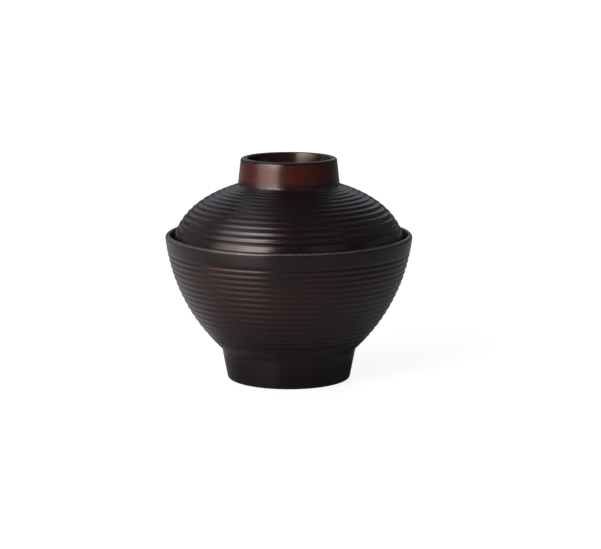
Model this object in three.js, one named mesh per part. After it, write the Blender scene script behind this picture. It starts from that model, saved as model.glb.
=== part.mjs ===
// Soup bowl with lid: two pieces of turned and lacquered wood, in millimetres, +Z up.
// The bowl stands on its ring foot, with the origin at the centre of the foot's underside.
// The lid drops into the flared mouth of the bowl and lifts off by its ring knob.
import * as THREE from "three";

// Overall sizes
const RIM_DIAMETER = 102; // widest outside diameter, at the bowl's rim
const BOWL_HEIGHT = 60.5; // underside of the foot to the top of the rim
const LIDDED_HEIGHT = 92; // underside of the foot to the top of the knob, with the lid on

// Bowl
const RIM_SHOULDER = 1.35; // rounding of the rim's outer edge
const RIM_LIP = 0.55; // rounding of its inner edge; the two together are the thickness of the wall there
const SIDE_ARC_RADIUS = 73; // curve of the side in section
const FLOOR_THICKNESS = 4.5; // wood between the bowl's inside and the hollow of the foot

// Mouth of the bowl, where the lid is seated
const MOUTH_DEPTH = 5.5; // top of the rim to the foot of the flare
const MOUTH_FLARE = 1.6; // how much the radius opens over the flare
const LID_SINK = 4.2; // top of the rim down to the middle of the lid's rounded edge
const LID_CLEARANCE = 0.3; // gap between the lid's edge and the flare that it rests on

// Foot of the bowl
const FOOT_HEIGHT = 12.75; // underside to the crease under the side
const FOOT_BASE_DIAMETER = 50.8;
const FOOT_TOP_DIAMETER = 55.8; // at the crease
const FOOT_FILLET = 2; // hollow rounding in the crease
const FOOT_EDGE = 0.9; // rounding of the foot's lower edges
const FOOT_RING_WIDTH = 4; // width of the ring that the bowl stands on
const FOOT_HOLLOW_DEPTH = 8;
const FOOT_HOLLOW_DRAFT = 1; // how much the hollow narrows up to its ceiling, on the radius
const FOOT_HOLLOW_CORNER = 2; // rounding where the hollow's wall meets its ceiling

// Lid
const LID_EDGE_WALL = 2.4; // thickness of the wall at the lid's edge, which is a full round
const CROWN_THICKNESS = 2.6; // wood between the lid's inside and the hollow of the knob

// Ring knob of the lid
const KNOB_HEIGHT = 11.2; // top of the knob to the crease where it meets the dome
const KNOB_TOP_DIAMETER = 39.6;
const KNOB_BASE_DIAMETER = 42;
const KNOB_WALL = 2.5; // thickness of the ring at its top
const KNOB_OUTER_EDGE = 1.2; // rounding of the ring's outer top edge
const KNOB_INNER_EDGE = 0.5; // rounding of the ring's inner top edge
const KNOB_FILLET = 1.7; // hollow rounding between the knob and the dome
const KNOB_HOLLOW_DEPTH = 9;
const KNOB_HOLLOW_DRAFT = 1; // how much the hollow narrows down to its floor, on the radius
const KNOB_HOLLOW_CORNER = 2.5; // rounding where the hollow's wall meets its floor

// Turned ribs: convex bands between narrow grooves, narrowing evenly from the lowest to the highest
const GROOVE_DEPTH = 0.3;
const GROOVE_FLANK = 0.35; // width of a groove's slope on the side of a plain band
const BOWL_RIBS = 15;
const BOWL_RIB_NARROWING = 0.76; // width of the highest rib as a share of the lowest
const BOWL_BAND_BELOW_RIBS = 6.2; // plain band over the crease, along the side
const BOWL_BAND_ABOVE_RIBS = 5.9; // plain band under the rim, along the side
const LID_RIBS = 11;
const LID_RIB_NARROWING = 0.83;
const LID_BAND_BELOW_RIBS = 7.6; // plain band over the lid's edge, along the dome
const LID_BAND_ABOVE_RIBS = 0.45; // plain band around the knob, along the dome

// Steps of the facets
const TURN_STEPS = 48; // around the axis, alike on both pieces
const RIB_STEPS = 3;
const ROUND_STEPS = 3;
const BAND_STEPS = 2;
const WALL_STEPS = 10;
const SAME_POINT = 1e-6; // points of a section nearer than this are one point

// Finish
const BOWL_COLOUR = 0x2d1c18;
const LID_COLOUR = 0x37211a;
const LACQUER_ROUGHNESS = 0.38;

// A point of a section: its radius from the axis and its height.
const at = (radius, height) => new THREE.Vector2(radius, height);

// The unit vector a quarter turn clockwise from a direction: it points out of the wood,
// because each section runs with the wood on its left.
const outwardOf = (direction) => at(direction.y, -direction.x).normalize();

// The crossing of two circles that lies left of the way from the first centre to the second.
function circlesCross(centreA, radiusA, centreB, radiusB) {
  const way = centreB.clone().sub(centreA);
  const distance = way.length();
  const along = (distance ** 2 + radiusA ** 2 - radiusB ** 2) / (2 * distance);
  const across = Math.sqrt(radiusA ** 2 - along ** 2);
  way.normalize();
  return centreA.clone().addScaledVector(way, along).addScaledVector(outwardOf(way), -across);
}

// The last point that a line through a point shares with a circle, going along the direction.
function lineLeavesCircle(point, direction, centre, radius) {
  const arm = point.clone().sub(centre);
  const back = arm.dot(direction);
  const reach = Math.sqrt(back ** 2 - arm.lengthSq() + radius ** 2) - back;
  return point.clone().addScaledVector(direction, reach);
}

// An arc about a centre between two points that lie on it.
function arcBetween(centre, start, end, clockwise = false) {
  const first = start.clone().sub(centre);
  const last = end.clone().sub(centre);
  const radius = first.length();
  return new THREE.ArcCurve(centre.x, centre.y, radius, first.angle(), last.angle(), clockwise);
}

// A rounded corner between two straight stretches that meet at a point.
function roundedCorner(before, corner, after, radius) {
  const back = before.clone().sub(corner).normalize();
  const on = after.clone().sub(corner).normalize();
  const halfAngle = Math.acos(back.dot(on)) / 2;
  const setback = radius / Math.tan(halfAngle);
  const middle = back.clone().add(on).normalize();
  const centre = corner.clone().addScaledVector(middle, radius / Math.sin(halfAngle));
  const start = corner.clone().addScaledVector(back, setback);
  const end = corner.clone().addScaledVector(on, setback);
  const turnsRight = back.cross(on) > 0;
  return arcBetween(centre, start, end, turnsRight);
}

// The stretch of a curve between two distances along it, as evenly spaced points.
function stretch(curve, from, to, steps) {
  const length = curve.getLength();
  const points = [];
  for (let i = 0; i <= steps; i++) {
    points.push(curve.getPointAt((from + ((to - from) * i) / steps) / length));
  }
  return points;
}

// A rising outside curve with turned ribs on it, between a plain band at each end.
// The crests of the ribs lie on the curve and the grooves are cut into it.
function ribbed(curve, bandBelow, bandAbove, ribs, narrowing) {
  const length = curve.getLength();
  const ribbedLength = length - bandBelow - bandAbove;
  const distanceTo = (rib) => {
    const share = rib / ribs;
    return bandBelow + (ribbedLength * share * (2 + (narrowing - 1) * share)) / (1 + narrowing);
  };
  const groove = (rib) => {
    const place = distanceTo(rib) / length;
    return curve.getPointAt(place).addScaledVector(outwardOf(curve.getTangentAt(place)), -GROOVE_DEPTH);
  };
  const points = stretch(curve, 0, bandBelow - GROOVE_FLANK, BAND_STEPS);
  for (let rib = 0; rib < ribs; rib++) {
    const low = groove(rib);
    const high = groove(rib + 1);
    const crest = curve.getPointAt((distanceTo(rib) + distanceTo(rib + 1)) / 2 / length);
    const pull = crest.multiplyScalar(2).addScaledVector(low, -0.5).addScaledVector(high, -0.5);
    const bow = new THREE.QuadraticBezierCurve(low, pull, high);
    points.push(...bow.getPoints(RIB_STEPS).slice(0, -1));
  }
  points.push(groove(ribs));
  points.push(...stretch(curve, length - bandAbove + GROOVE_FLANK, length, BAND_STEPS));
  return points;
}

// One piece turned about the axis from its section, standing upright.
function turned(name, section, colour) {
  const isNew = (point, i) => i === 0 || point.distanceTo(section[i - 1]) > SAME_POINT;
  const points = section.filter(isNew);
  const material = new THREE.MeshStandardMaterial({
    color: colour,
    roughness: LACQUER_ROUGHNESS,
    metalness: 0,
  });
  const piece = new THREE.Mesh(new THREE.LatheGeometry(points, TURN_STEPS), material);
  piece.name = name;
  piece.rotation.x = Math.PI / 2;
  return piece;
}

// Mouth of the bowl: the rim's outer and inner roundings and the flare below them, shared by both pieces
const rimTop = at(RIM_DIAMETER / 2 - RIM_SHOULDER, BOWL_HEIGHT);
const shoulderCentre = at(rimTop.x, BOWL_HEIGHT - RIM_SHOULDER);
const lipCentre = at(rimTop.x, BOWL_HEIGHT - RIM_LIP);
const flareFoot = at(rimTop.x - RIM_LIP - MOUTH_FLARE, BOWL_HEIGHT - MOUTH_DEPTH);
const flareToLip = lipCentre.clone().sub(flareFoot);
const flareLean = flareToLip.angle() + Math.asin(RIM_LIP / flareToLip.length());
const flareWay = at(Math.cos(flareLean), Math.sin(flareLean));
const flareTop = lipCentre.clone().addScaledVector(outwardOf(flareWay), -RIM_LIP);

// Lid's edge: its round lies against the flare with the clearance between them
const lidEdgeRound = LID_EDGE_WALL / 2;
const lidSeatHeight = BOWL_HEIGHT - LID_SINK;
const flareRadiusAtSeat = flareFoot.x + ((lidSeatHeight - flareFoot.y) * flareWay.x) / flareWay.y;
const lidEdgeMiddle = flareRadiusAtSeat - (lidEdgeRound + LID_CLEARANCE) / flareWay.y;

// Section of the bowl: hollow of the foot, foot, ribbed side, rim, mouth and inside
function bowlSection() {
  const hollowCentre = at(0, FOOT_HOLLOW_DEPTH);
  const ringInner = at(FOOT_BASE_DIAMETER / 2 - FOOT_RING_WIDTH, 0);
  const ringOuter = at(FOOT_BASE_DIAMETER / 2, 0);
  const hollowCorner = at(ringInner.x - FOOT_HOLLOW_DRAFT, FOOT_HOLLOW_DEPTH);
  const crease = at(FOOT_TOP_DIAMETER / 2, FOOT_HEIGHT);

  const sideCentre = circlesCross(crease, SIDE_ARC_RADIUS, shoulderCentre, SIDE_ARC_RADIUS - RIM_SHOULDER);
  const shoulderWay = shoulderCentre.clone().sub(sideCentre).normalize();
  const sideTop = sideCentre.clone().addScaledVector(shoulderWay, SIDE_ARC_RADIUS);

  const footWay = crease.clone().sub(ringOuter).normalize();
  const besideFoot = crease.clone().addScaledVector(outwardOf(footWay), FOOT_FILLET);
  const filletCentre = lineLeavesCircle(
    besideFoot,
    footWay.clone().negate(),
    sideCentre,
    SIDE_ARC_RADIUS + FOOT_FILLET,
  );
  const filletStart = filletCentre.clone().addScaledVector(outwardOf(footWay), -FOOT_FILLET);
  const filletWay = sideCentre.clone().sub(filletCentre).normalize();
  const sideStart = filletCentre.clone().addScaledVector(filletWay, FOOT_FILLET);
  const side = arcBetween(sideCentre, sideStart, sideTop);

  const floor = at(0, FOOT_HOLLOW_DEPTH + FLOOR_THICKNESS);
  const insideHeight = flareFoot.y - floor.y;
  const insideRadius = (flareFoot.x ** 2 + insideHeight ** 2) / (2 * insideHeight);
  const insideCentre = at(0, floor.y + insideRadius);

  return [
    hollowCentre,
    ...roundedCorner(hollowCentre, hollowCorner, ringInner, FOOT_HOLLOW_CORNER).getPoints(ROUND_STEPS),
    ...roundedCorner(hollowCorner, ringInner, ringOuter, FOOT_EDGE).getPoints(BAND_STEPS),
    ...roundedCorner(ringInner, ringOuter, crease, FOOT_EDGE).getPoints(BAND_STEPS),
    ...arcBetween(filletCentre, filletStart, sideStart, true).getPoints(ROUND_STEPS),
    ...ribbed(side, BOWL_BAND_BELOW_RIBS, BOWL_BAND_ABOVE_RIBS, BOWL_RIBS, BOWL_RIB_NARROWING),
    ...arcBetween(shoulderCentre, sideTop, rimTop).getPoints(ROUND_STEPS),
    ...arcBetween(lipCentre, rimTop, flareTop).getPoints(ROUND_STEPS),
    ...arcBetween(insideCentre, flareFoot, floor, true).getPoints(WALL_STEPS),
  ];
}

// Section of the lid, with height counted from the middle of its rounded edge:
// inside, edge, ribbed dome, ring knob and hollow of the knob
function lidSection() {
  const top = LIDDED_HEIGHT - lidSeatHeight;
  const edge = at(lidEdgeMiddle + lidEdgeRound, 0);
  const insideEdge = at(lidEdgeMiddle - lidEdgeRound, 0);
  const hollowFloor = at(0, top - KNOB_HOLLOW_DEPTH);
  const ceilingHeight = hollowFloor.y - CROWN_THICKNESS;
  const inside = new THREE.EllipseCurve(0, 0, insideEdge.x, ceilingHeight, Math.PI / 2, 0, true);

  const crease = at(KNOB_BASE_DIAMETER / 2, top - KNOB_HEIGHT);
  const creaseAngle = Math.acos(crease.x / edge.x);
  const domeHeight = crease.y / Math.sin(creaseAngle);
  const domeWay = at(-edge.x * Math.sin(creaseAngle), domeHeight * Math.cos(creaseAngle));
  const belowCrease = crease.clone().sub(domeWay);
  const knobTop = at(KNOB_TOP_DIAMETER / 2, top);
  const knobFillet = roundedCorner(belowCrease, crease, knobTop, KNOB_FILLET);
  const domeEndAngle = Math.acos(knobFillet.getPoint(0).x / edge.x);
  const dome = new THREE.EllipseCurve(0, 0, edge.x, domeHeight, 0, domeEndAngle);

  const knobInner = at(KNOB_TOP_DIAMETER / 2 - KNOB_WALL, top);
  const hollowCorner = at(knobInner.x - KNOB_HOLLOW_DRAFT, hollowFloor.y);

  return [
    ...inside.getPoints(WALL_STEPS),
    ...arcBetween(at(lidEdgeMiddle, 0), insideEdge, edge).getPoints(ROUND_STEPS),
    ...ribbed(dome, LID_BAND_BELOW_RIBS, LID_BAND_ABOVE_RIBS, LID_RIBS, LID_RIB_NARROWING),
    ...knobFillet.getPoints(ROUND_STEPS),
    ...roundedCorner(crease, knobTop, knobInner, KNOB_OUTER_EDGE).getPoints(ROUND_STEPS),
    ...roundedCorner(knobTop, knobInner, hollowCorner, KNOB_INNER_EDGE).getPoints(BAND_STEPS),
    ...roundedCorner(knobInner, hollowCorner, hollowFloor, KNOB_HOLLOW_CORNER).getPoints(ROUND_STEPS),
    hollowFloor,
  ];
}

const bowl = turned("bowl", bowlSection(), BOWL_COLOUR);
const lid = turned("lid", lidSection(), LID_COLOUR);
lid.position.z = lidSeatHeight;

const liddedBowl = new THREE.Group();
liddedBowl.name = "lidded_bowl";
liddedBowl.add(bowl, lid);

export default liddedBowl;
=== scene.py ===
"""Looks of a lidded soup bowl: two pieces of turned wood under dark satin lacquer, on a pale floor.

Each piece is a section of lines, arcs and ellipses, in metres. One node tree cuts the grooves into it and
turns it about the Z axis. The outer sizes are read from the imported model, so the pieces fill the place of its
solids.
"""
import math

import bpy
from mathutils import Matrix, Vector


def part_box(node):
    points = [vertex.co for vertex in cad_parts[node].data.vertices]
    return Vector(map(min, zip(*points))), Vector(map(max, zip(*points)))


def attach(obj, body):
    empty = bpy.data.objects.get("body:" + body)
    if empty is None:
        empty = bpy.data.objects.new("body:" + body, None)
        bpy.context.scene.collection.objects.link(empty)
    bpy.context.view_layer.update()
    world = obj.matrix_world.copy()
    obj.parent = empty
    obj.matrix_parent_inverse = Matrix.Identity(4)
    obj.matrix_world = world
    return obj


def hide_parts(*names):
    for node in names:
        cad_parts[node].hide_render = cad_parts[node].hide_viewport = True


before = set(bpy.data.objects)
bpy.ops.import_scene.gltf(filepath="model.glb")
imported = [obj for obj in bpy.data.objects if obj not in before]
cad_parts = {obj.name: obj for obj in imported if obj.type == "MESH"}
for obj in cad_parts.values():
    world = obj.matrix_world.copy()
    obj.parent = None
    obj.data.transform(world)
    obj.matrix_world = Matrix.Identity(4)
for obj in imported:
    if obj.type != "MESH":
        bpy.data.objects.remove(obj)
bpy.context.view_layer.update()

MM = 0.001

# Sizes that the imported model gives
RIM_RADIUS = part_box("bowl")[1].x
BOWL_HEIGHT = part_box("bowl")[1].z
LIDDED_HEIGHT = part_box("lid")[1].z

# Bowl
RIM_SHOULDER = 1.35 * MM
RIM_LIP = 0.55 * MM
SIDE_ARC_RADIUS = 73 * MM
FLOOR_THICKNESS = 4.5 * MM
MOUTH_DEPTH = 5.5 * MM
MOUTH_FLARE = 1.6 * MM

# Foot of the bowl
FOOT_HEIGHT = 12.75 * MM
FOOT_BASE_RADIUS = 25.4 * MM
FOOT_TOP_RADIUS = 27.9 * MM
FOOT_FILLET = 2 * MM
FOOT_EDGE = 0.9 * MM
FOOT_RING_WIDTH = 4 * MM
FOOT_HOLLOW_DEPTH = 8 * MM
FOOT_HOLLOW_DRAFT = 1 * MM
FOOT_HOLLOW_CORNER = 2 * MM

# Lid and its seat in the mouth of the bowl
LID_SINK = 4.2 * MM
LID_CLEARANCE = 0.3 * MM
LID_EDGE_WALL = 2.4 * MM
CROWN_THICKNESS = 2.6 * MM

# Ring knob of the lid
KNOB_HEIGHT = 11.2 * MM
KNOB_TOP_RADIUS = 19.8 * MM
KNOB_BASE_RADIUS = 21 * MM
KNOB_WALL = 2.5 * MM
KNOB_OUTER_EDGE = 1.2 * MM
KNOB_INNER_EDGE = 0.5 * MM
KNOB_FILLET = 1.7 * MM
KNOB_HOLLOW_DEPTH = 9 * MM
KNOB_HOLLOW_DRAFT = 1 * MM
KNOB_HOLLOW_CORNER = 2.5 * MM

# Turned ribs, which narrow evenly from the lowest to the highest
GROOVE_DEPTH = 0.3 * MM
GROOVE_FLANK = 0.35 * MM
BOWL_RIBS = 15
BOWL_RIB_NARROWING = 0.76
BOWL_BAND_BELOW_RIBS = 6.2 * MM
BOWL_BAND_ABOVE_RIBS = 5.9 * MM
LID_RIBS = 11
LID_RIB_NARROWING = 0.83
LID_BAND_BELOW_RIBS = 7.6 * MM
LID_BAND_ABOVE_RIBS = 0.45 * MM

# Rubbing of the lacquer on rounded edges, as a share of the most; on the rim it is partly a painted highlight
FOOT_WEAR = 0.3
RIM_WEAR_AND_HIGHLIGHT = 1.0
LID_EDGE_WEAR = 0.5
KNOB_EDGE_WEAR = 0.25

# Warmth of the lacquer on the knob and in its hollow, as a share of the most; the low shares in the fillet, on
# the edges and in the hollow are painted shade
KNOB_FILLET_SHADED_WARMTH = 0.15
KNOB_SIDE_WARMTH = 1.0
KNOB_EDGE_SHADED_WARMTH = 0.1
KNOB_WALL_SHADED_WARMTH = 0.4
KNOB_HOLLOW_SHADED_WARMTH = 0.3

# Wood: the offset that puts the pith outside the piece, and the patterns drawn out along the grain
PITH_OFFSET = (130 * MM, 70 * MM, 0)
RING_STRETCH = (1, 1, 0.12)
GRAIN_STRETCH = (1, 1, 0.04)
RING_SCALE = 95.0
STREAK_SCALE = 900.0
PORE_SCALE = 3200.0
RING_SHARE = 0.35
STREAK_SHARE = 0.65
PORE_NOISE = (0.60, 0.70)
PORE_DARKNESS = 0.35
PORE_RELIEF = -0.5
GRAIN_RELIEF = 0.05 * MM
GRAIN_RELIEF_SHARE = 0.25

# Lacquer: its clouds, ranges of the patterns, and the shares and the roughness that they are carried to
CLOUD_SCALE = 45.0
BROWN_FIGURE = (0.30, 0.72)
THIN_CLOUDS = (0.35, 0.70)
THIN_BY_CLOUDS = (0.2, 0.9)
RED_BY_HEIGHT = (0.1, 1.0)
WARM_FIGURE = (0.25, 0.70)
WARM_BY_FIGURE = (0.8, 1.0)
RUBBED_AND_HIGHLIGHT_STREAKS = (0.40, 0.62)
RUBBED_AND_HIGHLIGHT_BY_STREAKS = (0.35, 0.65)
SATIN_CLOUDS = (0.3, 0.7)
SATIN_ROUGHNESS = (0.19, 0.25)
GROOVE_DULLNESS = 0.08

# Floor, with distances from the bowl's axis; the darker shade by the bowl is a painted shadow
FLOOR_RADIUS = 6.0
FLOOR_ROUGHNESS = 0.25
FLOOR_PAINTED_SHADOW_BY_BOWL = (0.30, 0.31, 0.33, 1)
FLOOR_SHADE_BEYOND = (0.43, 0.45, 0.47, 1)
FLOOR_SHADE_DISTANCES = (36 * MM, 46 * MM)
FLOOR_GLOSS = (0.1, 0.23)
FLOOR_GLOSS_DISTANCES = (40 * MM, 120 * MM)
FLOOR_WHITE = (0.86, 1.0)
FLOOR_WHITE_DISTANCES = (150 * MM, 1000 * MM)

# Glow that mirrored rays meet on the floor, by the cosine of the angle from the lit side
LIT_WAY = (-0.866, 0.5, 0)
LIT_COSINES = (0.55, 1.0)
GLOW = (0.08, 0.25)
GLOW_DISTANCES = (45 * MM, 54 * MM)

# Curtain that mirrored rays meet
CURTAIN_RADIUS = 2.6
CURTAIN_HEIGHT = 1.9
CURTAIN_GREY = (0.09, 0.09, 0.10, 1)

# Light
WHITE = (1, 1, 1, 1)
WARM_WHITE = (1.0, 0.85, 0.83)
AMBER_WHITE = (1.0, 0.57, 0.40)
COOL_WHITE = (0.87, 0.91, 1.0)
WORLD_LEVEL = 0.03
LAMP_AIM_HEIGHT = 50 * MM

# Camera, with its sensor in millimetres
CAMERA_BACK = 890.6 * MM
CAMERA_HEIGHT = 202.35 * MM
CAMERA_AIM_HEIGHT = 46 * MM
CAMERA_NEAREST = 10 * MM
SENSOR_WIDTH = 36

# Picture, in its own pixels, with the place of the camera's aim from its middle
PICTURE_WIDTH = 601
FOCAL_LENGTH = 2181.2
AIM_LEFT = 11.65
AIM_ABOVE = 6.9

# Fineness of the meshes
STEPS_AROUND = 256
STEPS_PER_RIB = 12
STEPS_PER_ROUND = 8
STEPS_PER_LINE = 4
STEPS_PER_WALL = 36
COURSE_STEPS = 1000
FLOOR_STEPS = 64
CURTAIN_STEPS = 32
JOIN_DISTANCE = 0.001 * MM

# Rib share of a place that has no ribs
NO_RIB = -1.0

# Numbers of a mix node's colour sockets, which share their names with other sockets
FIRST_COLOUR = 6
SECOND_COLOUR = 7
MIXED_COLOUR = 2


# Drawing a section: a point is a radius from the axis and a height, and the wood is on the left of the way
def point(radius, height):
    return Vector((radius, height))


def outward_of(way):
    """The unit vector out of the wood, a quarter turn clockwise from the way."""
    return point(way.y, -way.x).normalized()


def line(start, end):
    """Points along a straight line."""
    return [start.lerp(end, i / STEPS_PER_LINE) for i in range(STEPS_PER_LINE + 1)]


def arc(centre, start, end, steps, clockwise=False):
    """Points along an arc about a centre, between two points that lie on it."""
    first = start - centre
    last = end - centre
    from_angle = math.atan2(first.y, first.x)
    sweep = (math.atan2(last.y, last.x) - from_angle) % math.tau
    if clockwise:
        sweep -= math.tau
    angles = [from_angle + sweep * i / steps for i in range(steps + 1)]
    return [centre + first.length * point(math.cos(a), math.sin(a)) for a in angles]


def rounded_corner(before, corner, after, radius):
    """Points of the arc that rounds the corner between two straight lines."""
    back = (before - corner).normalized()
    on = (after - corner).normalized()
    half_angle = math.acos(back.dot(on)) / 2
    setback = radius / math.tan(half_angle)
    centre = corner + (back + on).normalized() * (radius / math.sin(half_angle))
    turns_right = back.x * on.y - back.y * on.x > 0
    return arc(centre, corner + back * setback, corner + on * setback, STEPS_PER_ROUND, turns_right)


def circles_cross(centre_a, radius_a, centre_b, radius_b):
    """The crossing of two circles that lies left of the way from the first centre to the second."""
    way = centre_b - centre_a
    along = (way.length_squared + radius_a**2 - radius_b**2) / (2 * way.length)
    across = math.sqrt(radius_a**2 - along**2)
    return centre_a + way.normalized() * along - outward_of(way) * across


def line_leaves_circle(start, way, centre, radius):
    """The last point that a line shares with a circle."""
    arm = start - centre
    back = arm.dot(way)
    return start + way * (math.sqrt(back**2 - arm.length_squared + radius**2) - back)


class Course:
    """A finely stepped curve that is measured along its length."""

    def __init__(self, points):
        self.points = points
        self.marks = [0.0]
        for before, after in zip(points, points[1:]):
            self.marks.append(self.marks[-1] + (after - before).length)
        self.length = self.marks[-1]

    def at(self, distance):
        """The point at a distance from the start."""
        low = 0
        high = len(self.points) - 2
        while low < high:
            middle = (low + high + 1) // 2
            if self.marks[middle] <= distance:
                low = middle
            else:
                high = middle - 1
        share = (distance - self.marks[low]) / (self.marks[low + 1] - self.marks[low])
        return self.points[low].lerp(self.points[low + 1], min(share, 1.0))

    def stretch(self, start, end):
        """Points between two distances from the start."""
        return [self.at(start + (end - start) * i / STEPS_PER_LINE) for i in range(STEPS_PER_LINE + 1)]


class Section:
    """The points of a piece's section in order, with what the lathe and the lacquer read at each of them."""

    def __init__(self):
        self.points = []
        self.rib_share = []
        self.edge = []
        self.warmth = []

    def plain(self, points, warmth=0.0):
        """A stretch without ribs or wear."""
        for place in points:
            self.add(place, NO_RIB, 0.0, warmth)

    def rounded(self, points, wear_and_highlight, warmth=0.0):
        """A rounded edge, pale most at its middle: rubbed lacquer, and on the bowl's rim also a painted
        highlight.
        """
        for i, place in enumerate(points):
            self.add(place, NO_RIB, wear_and_highlight * math.sin(math.pi * i / (len(points) - 1)), warmth)

    def ribbed(self, course, band_below, band_above, ribs, narrowing):
        """A rising outside with ribs between two plain bands.

        The rib share is a whole number in each groove, and a half more on the crest after it.
        """
        ribbed_length = course.length - band_below - band_above
        self.plain(course.stretch(0, band_below - GROOVE_FLANK))
        for i in range(ribs * STEPS_PER_RIB + 1):
            share = i / (ribs * STEPS_PER_RIB)
            way = share * (2 + (narrowing - 1) * share) / (1 + narrowing)
            self.add(course.at(band_below + ribbed_length * way), i / STEPS_PER_RIB, 0.0, 0.0)
        self.plain(course.stretch(course.length - band_above + GROOVE_FLANK, course.length))

    def add(self, place, rib_share, edge, warmth):
        """One more point, unless it lies on the one before."""
        if self.points and (place - self.points[-1]).length < JOIN_DISTANCE:
            return
        self.points.append(place)
        self.rib_share.append(rib_share)
        self.edge.append(edge)
        self.warmth.append(warmth)


# Mouth of the bowl, which both pieces share
rim_top = point(RIM_RADIUS - RIM_SHOULDER, BOWL_HEIGHT)
shoulder_centre = rim_top - point(0, RIM_SHOULDER)
lip_centre = rim_top - point(0, RIM_LIP)
flare_foot = point(rim_top.x - RIM_LIP - MOUTH_FLARE, BOWL_HEIGHT - MOUTH_DEPTH)
flare_to_lip = lip_centre - flare_foot
flare_lean = math.atan2(flare_to_lip.y, flare_to_lip.x) + math.asin(RIM_LIP / flare_to_lip.length)
flare_way = point(math.cos(flare_lean), math.sin(flare_lean))
flare_top = lip_centre - outward_of(flare_way) * RIM_LIP
lid_edge_round = LID_EDGE_WALL / 2
lid_seat_height = BOWL_HEIGHT - LID_SINK
flare_radius_at_seat = flare_foot.x + (lid_seat_height - flare_foot.y) * flare_way.x / flare_way.y
lid_edge_middle = flare_radius_at_seat - (lid_edge_round + LID_CLEARANCE) / flare_way.y


def bowl_section():
    """Hollow of the foot, foot, ribbed side, rim, mouth and inside."""
    hollow_centre = point(0, FOOT_HOLLOW_DEPTH)
    ring_inner = point(FOOT_BASE_RADIUS - FOOT_RING_WIDTH, 0)
    ring_outer = point(FOOT_BASE_RADIUS, 0)
    hollow_corner = point(ring_inner.x - FOOT_HOLLOW_DRAFT, FOOT_HOLLOW_DEPTH)
    crease = point(FOOT_TOP_RADIUS, FOOT_HEIGHT)

    side_centre = circles_cross(crease, SIDE_ARC_RADIUS, shoulder_centre, SIDE_ARC_RADIUS - RIM_SHOULDER)
    side_top = side_centre + (shoulder_centre - side_centre).normalized() * SIDE_ARC_RADIUS
    foot_way = (crease - ring_outer).normalized()
    beside_foot = crease + outward_of(foot_way) * FOOT_FILLET
    fillet_centre = line_leaves_circle(beside_foot, -foot_way, side_centre, SIDE_ARC_RADIUS + FOOT_FILLET)
    fillet_start = fillet_centre - outward_of(foot_way) * FOOT_FILLET
    side_start = fillet_centre + (side_centre - fillet_centre).normalized() * FOOT_FILLET
    side = Course(arc(side_centre, side_start, side_top, COURSE_STEPS))

    floor_middle = point(0, FOOT_HOLLOW_DEPTH + FLOOR_THICKNESS)
    inside_height = flare_foot.y - floor_middle.y
    inside_radius = (flare_foot.x**2 + inside_height**2) / (2 * inside_height)
    inside_centre = point(0, floor_middle.y + inside_radius)

    hollow_round = rounded_corner(hollow_centre, hollow_corner, ring_inner, FOOT_HOLLOW_CORNER)
    inner_edge = rounded_corner(hollow_corner, ring_inner, ring_outer, FOOT_EDGE)
    outer_edge = rounded_corner(ring_inner, ring_outer, crease, FOOT_EDGE)
    shoulder = arc(shoulder_centre, side_top, rim_top, 2 * STEPS_PER_ROUND)

    # The shoulder is rubbed along a strip a little below its middle, and a highlight is painted along the same
    # strip
    worn_and_highlight_from = STEPS_PER_ROUND // 2 - 1
    worn_and_highlight_to = worn_and_highlight_from + STEPS_PER_ROUND

    section = Section()
    section.plain(line(hollow_centre, hollow_round[0]))
    section.plain(hollow_round)
    section.plain(line(hollow_round[-1], inner_edge[0]))
    section.rounded(inner_edge, FOOT_WEAR)
    section.rounded(outer_edge, FOOT_WEAR)
    section.plain(line(outer_edge[-1], fillet_start))
    section.plain(arc(fillet_centre, fillet_start, side_start, STEPS_PER_ROUND, True))
    section.ribbed(side, BOWL_BAND_BELOW_RIBS, BOWL_BAND_ABOVE_RIBS, BOWL_RIBS, BOWL_RIB_NARROWING)
    section.plain(shoulder[:worn_and_highlight_from])
    section.rounded(shoulder[worn_and_highlight_from:worn_and_highlight_to + 1], RIM_WEAR_AND_HIGHLIGHT)
    section.plain(shoulder[worn_and_highlight_to + 1:])
    section.plain(arc(lip_centre, rim_top, flare_top, STEPS_PER_ROUND))
    section.plain(line(flare_top, flare_foot))
    section.plain(arc(inside_centre, flare_foot, floor_middle, STEPS_PER_WALL, True))
    return section


def ellipse_over_seat(radius, height, angles):
    """Points of an ellipse about the middle of the lid's seat, at angles from its edge."""
    return [point(radius * math.cos(a), lid_seat_height + height * math.sin(a)) for a in angles]


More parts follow.
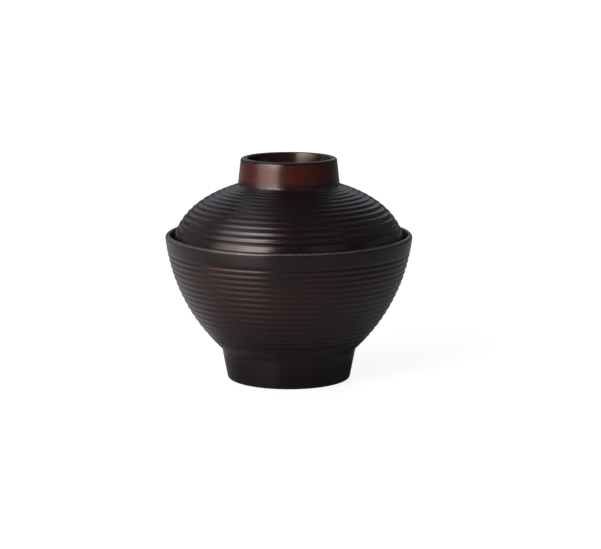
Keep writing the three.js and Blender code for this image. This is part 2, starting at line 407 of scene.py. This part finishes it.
def lid_section():
    """Inside, edge, ribbed dome, ring knob and hollow of the knob."""
    edge_centre = point(lid_edge_middle, lid_seat_height)
    edge = edge_centre + point(lid_edge_round, 0)
    inside_edge = edge_centre - point(lid_edge_round, 0)
    hollow_floor = point(0, LIDDED_HEIGHT - KNOB_HOLLOW_DEPTH)
    ceiling_height = hollow_floor.y - CROWN_THICKNESS - lid_seat_height
    turns = [math.pi / 2 * (1 - i / STEPS_PER_WALL) for i in range(STEPS_PER_WALL + 1)]
    inside = ellipse_over_seat(inside_edge.x, ceiling_height, turns)

    crease = point(KNOB_BASE_RADIUS, LIDDED_HEIGHT - KNOB_HEIGHT)
    crease_angle = math.acos(crease.x / edge.x)
    dome_height = (crease.y - lid_seat_height) / math.sin(crease_angle)
    dome_way = point(-edge.x * math.sin(crease_angle), dome_height * math.cos(crease_angle))
    knob_top = point(KNOB_TOP_RADIUS, LIDDED_HEIGHT)
    knob_fillet = rounded_corner(crease - dome_way, crease, knob_top, KNOB_FILLET)
    dome_end_angle = math.acos(knob_fillet[0].x / edge.x)
    angles = [dome_end_angle * i / COURSE_STEPS for i in range(COURSE_STEPS + 1)]
    dome = Course(ellipse_over_seat(edge.x, dome_height, angles))

    knob_inner = point(KNOB_TOP_RADIUS - KNOB_WALL, LIDDED_HEIGHT)
    hollow_corner = point(knob_inner.x - KNOB_HOLLOW_DRAFT, hollow_floor.y)
    outer_edge = rounded_corner(crease, knob_top, knob_inner, KNOB_OUTER_EDGE)
    inner_edge = rounded_corner(knob_top, knob_inner, hollow_corner, KNOB_INNER_EDGE)
    hollow_round = rounded_corner(knob_inner, hollow_corner, hollow_floor, KNOB_HOLLOW_CORNER)

    section = Section()
    section.plain(inside)
    section.rounded(arc(edge_centre, inside_edge, edge, STEPS_PER_ROUND), LID_EDGE_WEAR)
    section.ribbed(dome, LID_BAND_BELOW_RIBS, LID_BAND_ABOVE_RIBS, LID_RIBS, LID_RIB_NARROWING)
    # Less warmth in the fillet, on the top edges and down the hollow is painted shade
    section.plain(knob_fillet, KNOB_FILLET_SHADED_WARMTH)
    section.plain(line(knob_fillet[-1], outer_edge[0]), KNOB_SIDE_WARMTH)
    section.plain(outer_edge)
    section.rounded(inner_edge, KNOB_EDGE_WEAR, KNOB_EDGE_SHADED_WARMTH)
    section.plain(line(inner_edge[-1], hollow_round[0]), KNOB_WALL_SHADED_WARMTH)
    section.plain(hollow_round, KNOB_HOLLOW_SHADED_WARMTH)
    section.plain(line(hollow_round[-1], hollow_floor), KNOB_HOLLOW_SHADED_WARMTH)
    return section


# Node trees
def plug(tree, source, socket):
    """Links a socket to another, or sets its value."""
    if isinstance(source, bpy.types.NodeSocket):
        tree.links.new(source, socket)
    else:
        socket.default_value = source


def add_node(tree, kind, inputs=None, **settings):
    """A node with its settings, and its inputs by name or number."""
    node = tree.nodes.new(kind)
    for name, value in settings.items():
        setattr(node, name, value)
    for name, source in (inputs or {}).items():
        plug(tree, source, node.inputs[name])
    return node


def calculate(tree, operation, *sources):
    """The result of a math node."""
    node = add_node(tree, "ShaderNodeMath", dict(enumerate(sources)), operation=operation)
    return node.outputs["Value"]


def count(tree, operation, *sources):
    """The result of a whole-number math node."""
    node = add_node(tree, "FunctionNodeIntegerMath", dict(enumerate(sources)), operation=operation)
    return node.outputs["Value"]


def vector(tree, operation, *sources, output="Vector"):
    """The result of a vector math node."""
    node = add_node(tree, "ShaderNodeVectorMath", dict(enumerate(sources)), operation=operation)
    return node.outputs[output]


def named(tree, name):
    """A value that the section holds at each of its points."""
    node = add_node(tree, "GeometryNodeInputNamedAttribute", {"Name": name}, data_type="FLOAT")
    return node.outputs["Attribute"]


def stored(tree, geometry, name, value):
    """A geometry that holds a value by name at each of its points."""
    inputs = {"Geometry": geometry, "Name": name, "Value": value}
    return add_node(tree, "GeometryNodeStoreNamedAttribute", inputs, data_type="FLOAT").outputs["Geometry"]


def sampled(tree, geometry, value, index, kind):
    """A value at the point of a geometry that has a given number."""
    inputs = {"Geometry": geometry, "Value": value, "Index": index}
    return add_node(tree, "GeometryNodeSampleIndex", inputs, data_type=kind).outputs["Value"]


def lathe_tree():
    """The tree that grooves a section and turns it about the Z axis, and the identifiers of its inputs."""
    tree = bpy.data.node_groups.new("lathe", "GeometryNodeTree")
    sockets = {}
    for name, kind in (
        ("Section", "NodeSocketGeometry"),
        ("Steps Around", "NodeSocketInt"),
        ("Groove Depth", "NodeSocketFloat"),
        ("Lacquer", "NodeSocketMaterial"),
    ):
        sockets[name] = tree.interface.new_socket(name, in_out="INPUT", socket_type=kind).identifier
    tree.interface.new_socket("Piece", in_out="OUTPUT", socket_type="NodeSocketGeometry")
    given = add_node(tree, "NodeGroupInput").outputs

    # Grooves: the cut is full at whole rib shares and nothing at the crests between them
    rib_share = named(tree, "rib_share")
    on_rib = calculate(tree, "GREATER_THAN", rib_share, NO_RIB / 2)
    wave = calculate(tree, "COSINE", calculate(tree, "MULTIPLY", rib_share, math.tau))
    cut = calculate(tree, "MULTIPLY", on_rib, calculate(tree, "MULTIPLY_ADD", wave, 0.5, 0.5))
    place = add_node(tree, "GeometryNodeInputPosition").outputs["Position"]
    index = add_node(tree, "GeometryNodeInputIndex").outputs["Index"]
    ends = []
    for operation in ("ADD", "SUBTRACT"):
        beside = {"Index": count(tree, operation, index, 1), "Value": place}
        beside = add_node(tree, "GeometryNodeFieldAtIndex", beside, data_type="FLOAT_VECTOR")
        ends.append(beside.outputs["Value"])
    way = vector(tree, "SUBTRACT", *ends)
    way_parts = add_node(tree, "ShaderNodeSeparateXYZ", {"Vector": way}).outputs
    inward = {"X": calculate(tree, "MULTIPLY", way_parts["Z"], -1.0), "Z": way_parts["X"]}
    inward = add_node(tree, "ShaderNodeCombineXYZ", inward).outputs["Vector"]
    inward = vector(tree, "NORMALIZE", inward)
    depth = calculate(tree, "MULTIPLY", cut, given["Groove Depth"])
    shift = add_node(tree, "ShaderNodeVectorMath", {0: inward, "Scale": depth}, operation="SCALE")
    moved = {"Geometry": given["Section"], "Offset": shift.outputs["Vector"]}
    grooved = add_node(tree, "GeometryNodeSetPosition", moved).outputs["Geometry"]
    grooved = stored(tree, grooved, "groove", cut)
    grooved = stored(tree, grooved, "crest", calculate(tree, "SUBTRACT", on_rib, cut))

    # Turning: each column of a grid becomes a ring about the axis
    rings = add_node(tree, "GeometryNodeAttributeDomainSize", {"Geometry": grooved}).outputs["Point Count"]
    columns = count(tree, "ADD", given["Steps Around"], 1)
    grid = {"Vertices X": rings, "Vertices Y": columns}
    grid = add_node(tree, "GeometryNodeMeshGrid", grid).outputs["Mesh"]
    ring = count(tree, "DIVIDE_FLOOR", index, columns)
    turn = calculate(tree, "DIVIDE", count(tree, "MODULO", index, columns), given["Steps Around"])
    angle = calculate(tree, "MULTIPLY", turn, math.tau)
    drawn = sampled(tree, grooved, place, ring, "FLOAT_VECTOR")
    drawn = add_node(tree, "ShaderNodeSeparateXYZ", {"Vector": drawn}).outputs
    turned_place = {
        "X": calculate(tree, "MULTIPLY", drawn["X"], calculate(tree, "COSINE", angle)),
        "Y": calculate(tree, "MULTIPLY", drawn["X"], calculate(tree, "SINE", angle)),
        "Z": drawn["Z"],
    }
    turned_place = add_node(tree, "ShaderNodeCombineXYZ", turned_place).outputs["Vector"]
    moved = {"Geometry": grid, "Position": turned_place}
    shape = add_node(tree, "GeometryNodeSetPosition", moved).outputs["Geometry"]
    for name in ("groove", "crest", "edge", "warmth"):
        shape = stored(tree, shape, name, sampled(tree, grooved, named(tree, name), ring, "FLOAT"))
    joined = {"Geometry": shape, "Distance": JOIN_DISTANCE}
    shape = add_node(tree, "GeometryNodeMergeByDistance", joined).outputs["Geometry"]
    shape = add_node(tree, "GeometryNodeFlipFaces", {"Mesh": shape}).outputs["Mesh"]
    shape = add_node(tree, "GeometryNodeSetShadeSmooth", {"Geometry": shape}).outputs["Geometry"]
    shape = add_node(tree, "GeometryNodeRealizeInstances", {"Geometry": shape}).outputs["Geometry"]
    finished = {"Geometry": shape, "Material": given["Lacquer"]}
    finished = add_node(tree, "GeometryNodeSetMaterial", finished).outputs["Geometry"]
    add_node(tree, "NodeGroupOutput", {"Piece": finished})
    return tree, sockets


def turned(name, section, lathe, lacquer):
    """A piece turned from its section, as a plain mesh."""
    tree, sockets = lathe
    blank = bpy.data.meshes.new(name + "_section")
    chain = [(i, i + 1) for i in range(len(section.points) - 1)]
    blank.from_pydata([(place.x, 0, place.y) for place in section.points], chain, [])
    for key in ("rib_share", "edge", "warmth"):
        blank.attributes.new(key, "FLOAT", "POINT").data.foreach_set("value", getattr(section, key))
    holder = bpy.data.objects.new(name + "_section", blank)
    bpy.context.scene.collection.objects.link(holder)
    modifier = holder.modifiers.new("lathe", "NODES")
    modifier.node_group = tree
    modifier[sockets["Steps Around"]] = STEPS_AROUND
    modifier[sockets["Groove Depth"]] = GROOVE_DEPTH
    modifier[sockets["Lacquer"]] = lacquer
    made = holder.evaluated_get(bpy.context.evaluated_depsgraph_get())
    piece = bpy.data.objects.new(name, bpy.data.meshes.new_from_object(made))
    bpy.context.scene.collection.objects.link(piece)
    bpy.data.objects.remove(holder)
    return piece


# Lacquer over wood
def mixed(tree, share, first, second):
    """A colour between two."""
    inputs = {"Factor": share, FIRST_COLOUR: first, SECOND_COLOUR: second}
    return add_node(tree, "ShaderNodeMix", inputs, data_type="RGBA").outputs[MIXED_COLOUR]


def ranged(tree, value, given, wanted=(0.0, 1.0)):
    """A value carried from one range to another, kept within it."""
    inputs = {"Value": value}
    inputs["From Min"], inputs["From Max"] = given
    inputs["To Min"], inputs["To Max"] = wanted
    return add_node(tree, "ShaderNodeMapRange", inputs).outputs["Result"]


def marked(tree, name):
    """A value that the lathe left on the surface."""
    return add_node(tree, "ShaderNodeAttribute", attribute_name=name).outputs["Fac"]


def noise(tree, place, scale, detail, roughness=0.5):
    """A cloudy pattern of about that many patches to the metre."""
    inputs = {"Vector": place, "Scale": scale, "Detail": detail, "Roughness": roughness}
    return add_node(tree, "ShaderNodeTexNoise", inputs).outputs["Fac"]


def lacquered_wood(name, dark, brown, red, worn_and_highlight, least_red_height, most_red_height, warm=None):
    """Dark satin lacquer that lets the wood's upright grain show a little, redder where it lies thin."""
    material = bpy.data.materials.new(name)
    material.use_nodes = True
    tree = material.node_tree
    shader = tree.nodes["Principled BSDF"]
    place = add_node(tree, "ShaderNodeTexCoord").outputs["Object"]

    # Wood: growth rings about a pith outside the piece, streaks and pores, all drawn out along the grain
    pith = {"Vector": place, "Location": PITH_OFFSET, "Scale": RING_STRETCH}
    pith = add_node(tree, "ShaderNodeMapping", pith).outputs["Vector"]
    rings = {"Vector": pith, "Scale": RING_SCALE, "Distortion": 5.0, "Detail": 3.0, "Detail Scale": 0.6}
    rings = add_node(tree, "ShaderNodeTexWave", rings, wave_type="RINGS", rings_direction="Z").outputs["Fac"]
    drawn_out = {"Vector": place, "Scale": GRAIN_STRETCH}
    drawn_out = add_node(tree, "ShaderNodeMapping", drawn_out).outputs["Vector"]
    streaks = noise(tree, drawn_out, STREAK_SCALE, detail=4.0, roughness=0.65)
    pores = ranged(tree, noise(tree, drawn_out, PORE_SCALE, detail=1.0), PORE_NOISE)
    figure = calculate(tree, "MULTIPLY", streaks, STREAK_SHARE)
    figure = calculate(tree, "MULTIPLY_ADD", rings, RING_SHARE, figure)

    # Colour: dark where the lacquer is thick, red where it is thin on the crests, and pale where it is rubbed
    # and, on the bowl's rim, where a highlight is painted
    clouds = noise(tree, place, CLOUD_SCALE, detail=3.0)
    ground = mixed(tree, ranged(tree, figure, BROWN_FIGURE), dark, brown)
    height = add_node(tree, "ShaderNodeSeparateXYZ", {"Vector": place}).outputs["Z"]
    thin_by_clouds = ranged(tree, clouds, THIN_CLOUDS, THIN_BY_CLOUDS)
    # Crests grow redder from one given height to the other
    red_by_height = ranged(tree, height, (least_red_height, most_red_height), RED_BY_HEIGHT)
    thin = calculate(tree, "MULTIPLY", marked(tree, "crest"), thin_by_clouds)
    thin = calculate(tree, "MULTIPLY", thin, red_by_height)
    colour = mixed(tree, thin, ground, red)
    if warm:
        warmed = ranged(tree, figure, WARM_FIGURE, WARM_BY_FIGURE)
        warmed = calculate(tree, "MULTIPLY", marked(tree, "warmth"), warmed)
        colour = mixed(tree, warmed, colour, warm)
    colour = mixed(tree, calculate(tree, "MULTIPLY", pores, PORE_DARKNESS), colour, dark)
    # Pale where the lacquer is rubbed on rounded edges, and on the bowl's rim a painted highlight
    rubbed_and_highlight = ranged(tree, streaks, RUBBED_AND_HIGHLIGHT_STREAKS, RUBBED_AND_HIGHLIGHT_BY_STREAKS)
    rubbed_and_highlight = calculate(tree, "MULTIPLY", marked(tree, "edge"), rubbed_and_highlight)
    colour = mixed(tree, rubbed_and_highlight, colour, worn_and_highlight)
    plug(tree, colour, shader.inputs["Base Color"])

    # Gloss: satin, duller in the grooves
    gloss = ranged(tree, clouds, SATIN_CLOUDS, SATIN_ROUGHNESS)
    gloss = calculate(tree, "MULTIPLY_ADD", marked(tree, "groove"), GROOVE_DULLNESS, gloss)
    plug(tree, gloss, shader.inputs["Roughness"])

    # Relief: the grain shows through, and the pores are sunk
    grain = calculate(tree, "MULTIPLY_ADD", pores, PORE_RELIEF, streaks)
    bump = {"Strength": GRAIN_RELIEF_SHARE, "Distance": GRAIN_RELIEF, "Height": grain}
    bump = add_node(tree, "ShaderNodeBump", bump).outputs["Normal"]
    plug(tree, bump, shader.inputs["Normal"])
    return material


bowl_lacquer = lacquered_wood(
    "bowl_lacquer",
    dark=(0.0035, 0.0022, 0.0030, 1),
    brown=(0.0075, 0.0026, 0.0034, 1),
    red=(0.033, 0.0052, 0.0052, 1),
    worn_and_highlight=(0.165, 0.1450, 0.1250, 1),
    least_red_height=24 * MM,
    most_red_height=36 * MM,
)
lid_lacquer = lacquered_wood(
    "lid_lacquer",
    dark=(0.0035, 0.0020, 0.0030, 1),
    brown=(0.0065, 0.0024, 0.0034, 1),
    red=(0.018, 0.0040, 0.0044, 1),
    warm=(0.056, 0.0115, 0.0054, 1),
    worn_and_highlight=(0.240, 0.1950, 0.1350, 1),
    least_red_height=77 * MM,
    most_red_height=68 * MM,
)

# Pieces
lathe = lathe_tree()
bowl = turned("turned_bowl", bowl_section(), lathe, bowl_lacquer)
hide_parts("bowl")
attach(bowl, "bowl")
lid = turned("turned_lid", lid_section(), lathe, lid_lacquer)
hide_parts("lid")
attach(lid, "lid")


# Stage
def ring_of_points(radius, steps, height=0.0):
    """Points evenly round the axis."""
    angles = [math.tau * i / steps for i in range(steps)]
    return [(radius * math.cos(a), radius * math.sin(a), height) for a in angles]


def pale_floor():
    """A round satin floor, duller by the bowl and darker there with a painted shadow, and with the bowl's cast
    shadow on it.

    The camera sees it white, and mirrored rays meet a weak glow on it, stronger on the lit side.
    """
    mesh = bpy.data.meshes.new("floor")
    mesh.from_pydata(ring_of_points(FLOOR_RADIUS, FLOOR_STEPS), [], [list(range(FLOOR_STEPS))])
    material = bpy.data.materials.new("floor_white")
    material.use_nodes = True
    tree = material.node_tree
    shader = tree.nodes["Principled BSDF"]
    place = add_node(tree, "ShaderNodeTexCoord").outputs["Object"]
    from_axis = vector(tree, "LENGTH", place, output="Value")
    # Darker by the bowl: a painted shadow
    shade = ranged(tree, from_axis, FLOOR_SHADE_DISTANCES)
    shade = mixed(tree, shade, FLOOR_PAINTED_SHADOW_BY_BOWL, FLOOR_SHADE_BEYOND)
    gloss = ranged(tree, from_axis, FLOOR_GLOSS_DISTANCES, FLOOR_GLOSS)

    path = add_node(tree, "ShaderNodeLightPath").outputs
    mirrored = calculate(tree, "MAXIMUM", path["Is Glossy Ray"], path["Is Transmission Ray"])
    lit_side = vector(tree, "DOT_PRODUCT", vector(tree, "NORMALIZE", place), LIT_WAY, output="Value")
    mirrored = calculate(tree, "MULTIPLY", mirrored, ranged(tree, lit_side, LIT_COSINES, GLOW))
    mirrored = calculate(tree, "MULTIPLY", mirrored, ranged(tree, from_axis, GLOW_DISTANCES))
    seen = ranged(tree, from_axis, FLOOR_WHITE_DISTANCES, FLOOR_WHITE)
    seen = calculate(tree, "MULTIPLY", path["Is Camera Ray"], seen)
    glow = calculate(tree, "ADD", seen, mirrored)

    plug(tree, shade, shader.inputs["Base Color"])
    plug(tree, FLOOR_ROUGHNESS, shader.inputs["Roughness"])
    plug(tree, gloss, shader.inputs["Specular IOR Level"])
    plug(tree, WHITE, shader.inputs["Emission Color"])
    plug(tree, glow, shader.inputs["Emission Strength"])
    mesh.materials.append(material)
    floor = bpy.data.objects.new("floor", mesh)
    bpy.context.scene.collection.objects.link(floor)


def studio_world(level):
    """White all round for what is seen and mirrored, and a plain level of light for the rest."""
    world = bpy.data.worlds.new("studio")
    bpy.context.scene.world = world
    world.use_nodes = True
    tree = world.node_tree
    tree.nodes.clear()
    light = {"Color": WHITE, "Strength": level}
    light = add_node(tree, "ShaderNodeBackground", light).outputs["Background"]
    white = {"Color": WHITE, "Strength": 1.0}
    white = add_node(tree, "ShaderNodeBackground", white).outputs["Background"]
    path = add_node(tree, "ShaderNodeLightPath").outputs
    seen = calculate(tree, "MAXIMUM", path["Is Camera Ray"], path["Is Glossy Ray"])
    seen = calculate(tree, "MAXIMUM", seen, path["Is Transmission Ray"])
    both = add_node(tree, "ShaderNodeMixShader", {0: seen, 1: light, 2: white}).outputs["Shader"]
    add_node(tree, "ShaderNodeOutputWorld", {"Surface": both})


def grey_curtain():
    """A grey curtain round the bowl, with a roof.

    Only mirrored rays meet it, and it hides the white world from them.
    """
    steps = CURTAIN_STEPS
    foot = ring_of_points(CURTAIN_RADIUS, steps)
    head = ring_of_points(CURTAIN_RADIUS, steps, CURTAIN_HEIGHT)
    walls = [(i, (i + 1) % steps, steps + (i + 1) % steps, steps + i) for i in range(steps)]
    roof = tuple(range(steps, 2 * steps))
    mesh = bpy.data.meshes.new("curtain")
    mesh.from_pydata(foot + head, [], walls + [roof])
    material = bpy.data.materials.new("curtain_grey")
    material.use_nodes = True
    tree = material.node_tree
    tree.nodes.clear()
    grey = {"Color": CURTAIN_GREY, "Strength": 1.0}
    grey = add_node(tree, "ShaderNodeEmission", grey).outputs["Emission"]
    add_node(tree, "ShaderNodeOutputMaterial", {"Surface": grey})
    mesh.materials.append(material)
    curtain = bpy.data.objects.new("curtain", mesh)
    curtain.visible_camera = False
    curtain.visible_diffuse = False
    curtain.visible_shadow = False
    curtain.visible_transmission = False
    bpy.context.scene.collection.objects.link(curtain)


def soft_box(name, turn, rise, distance, width, height, brightness, colour):
    """A rectangular lamp that faces the bowl, at a turn from the front and a rise, both in degrees."""
    aim = Vector((0, 0, LAMP_AIM_HEIGHT))
    turn = math.radians(turn)
    rise = math.radians(rise)
    level = math.cos(rise)
    way = Vector((math.sin(turn) * level, -math.cos(turn) * level, math.sin(rise)))
    lamp = bpy.data.lights.new(name, "AREA")
    lamp.shape = "RECTANGLE"
    lamp.size = width
    lamp.size_y = height
    lamp.energy = math.pi * width * height * brightness
    lamp.color = colour
    holder = bpy.data.objects.new(name, lamp)
    holder.location = aim + way * distance
    holder.rotation_euler = (-way).to_track_quat("-Z", "Y").to_euler()
    bpy.context.scene.collection.objects.link(holder)


def camera():
    """The camera at the photograph's place, with its aim left of and above the middle of the picture."""
    aim = Vector((0, 0, CAMERA_AIM_HEIGHT))
    lens = bpy.data.cameras.new("camera")
    lens.sensor_width = SENSOR_WIDTH
    lens.lens = FOCAL_LENGTH / PICTURE_WIDTH * lens.sensor_width
    lens.shift_x = AIM_LEFT / PICTURE_WIDTH
    lens.shift_y = -AIM_ABOVE / PICTURE_WIDTH
    lens.clip_start = CAMERA_NEAREST
    holder = bpy.data.objects.new("camera", lens)
    holder.location = (0, -CAMERA_BACK, CAMERA_HEIGHT)
    holder.rotation_euler = (aim - holder.location).to_track_quat("-Z", "Y").to_euler()
    bpy.context.scene.collection.objects.link(holder)
    bpy.context.scene.camera = holder


pale_floor()
studio_world(WORLD_LEVEL)
grey_curtain()

# Lamps: turn and rise in degrees, distance, width and height in metres, brightness and colour
soft_box("key_high", -58, 58, 1.27, 0.60, 0.36, 1.0, WARM_WHITE)
soft_box("key_wide", -53, 26, 1.25, 1.28, 1.10, 1.65, WARM_WHITE)
soft_box("key_middle", -45, 26, 1.23, 1.04, 0.75, 2.4, WARM_WHITE)
soft_box("key_centre", -36, 23, 1.21, 0.60, 0.60, 4.4, WARM_WHITE)
soft_box("key_low_wide", -60, 5.5, 1.20, 1.50, 0.16, 0.8, AMBER_WHITE)
soft_box("key_low", -48, 5.5, 1.19, 0.95, 0.16, 2.1, AMBER_WHITE)
soft_box("backdrop", -176, 27, 2.2, 2.3, 1.3, 0.36, COOL_WHITE)
soft_box("left_high", -116, 62, 1.8, 1.0, 0.7, 0.7, COOL_WHITE)
soft_box("left_low", -114, 22, 1.8, 1.5, 1.2, 0.24, COOL_WHITE)
soft_box("right_high", 128, 52, 1.8, 1.0, 0.6, 0.12, COOL_WHITE)
soft_box("right_low", 105, 19, 1.8, 1.6, 0.6, 0.12, COOL_WHITE)
soft_box("right_front", 40, 32, 1.8, 1.3, 1.1, 0.22, COOL_WHITE)
camera()
bpy.context.scene.view_settings.view_transform = "Standard"
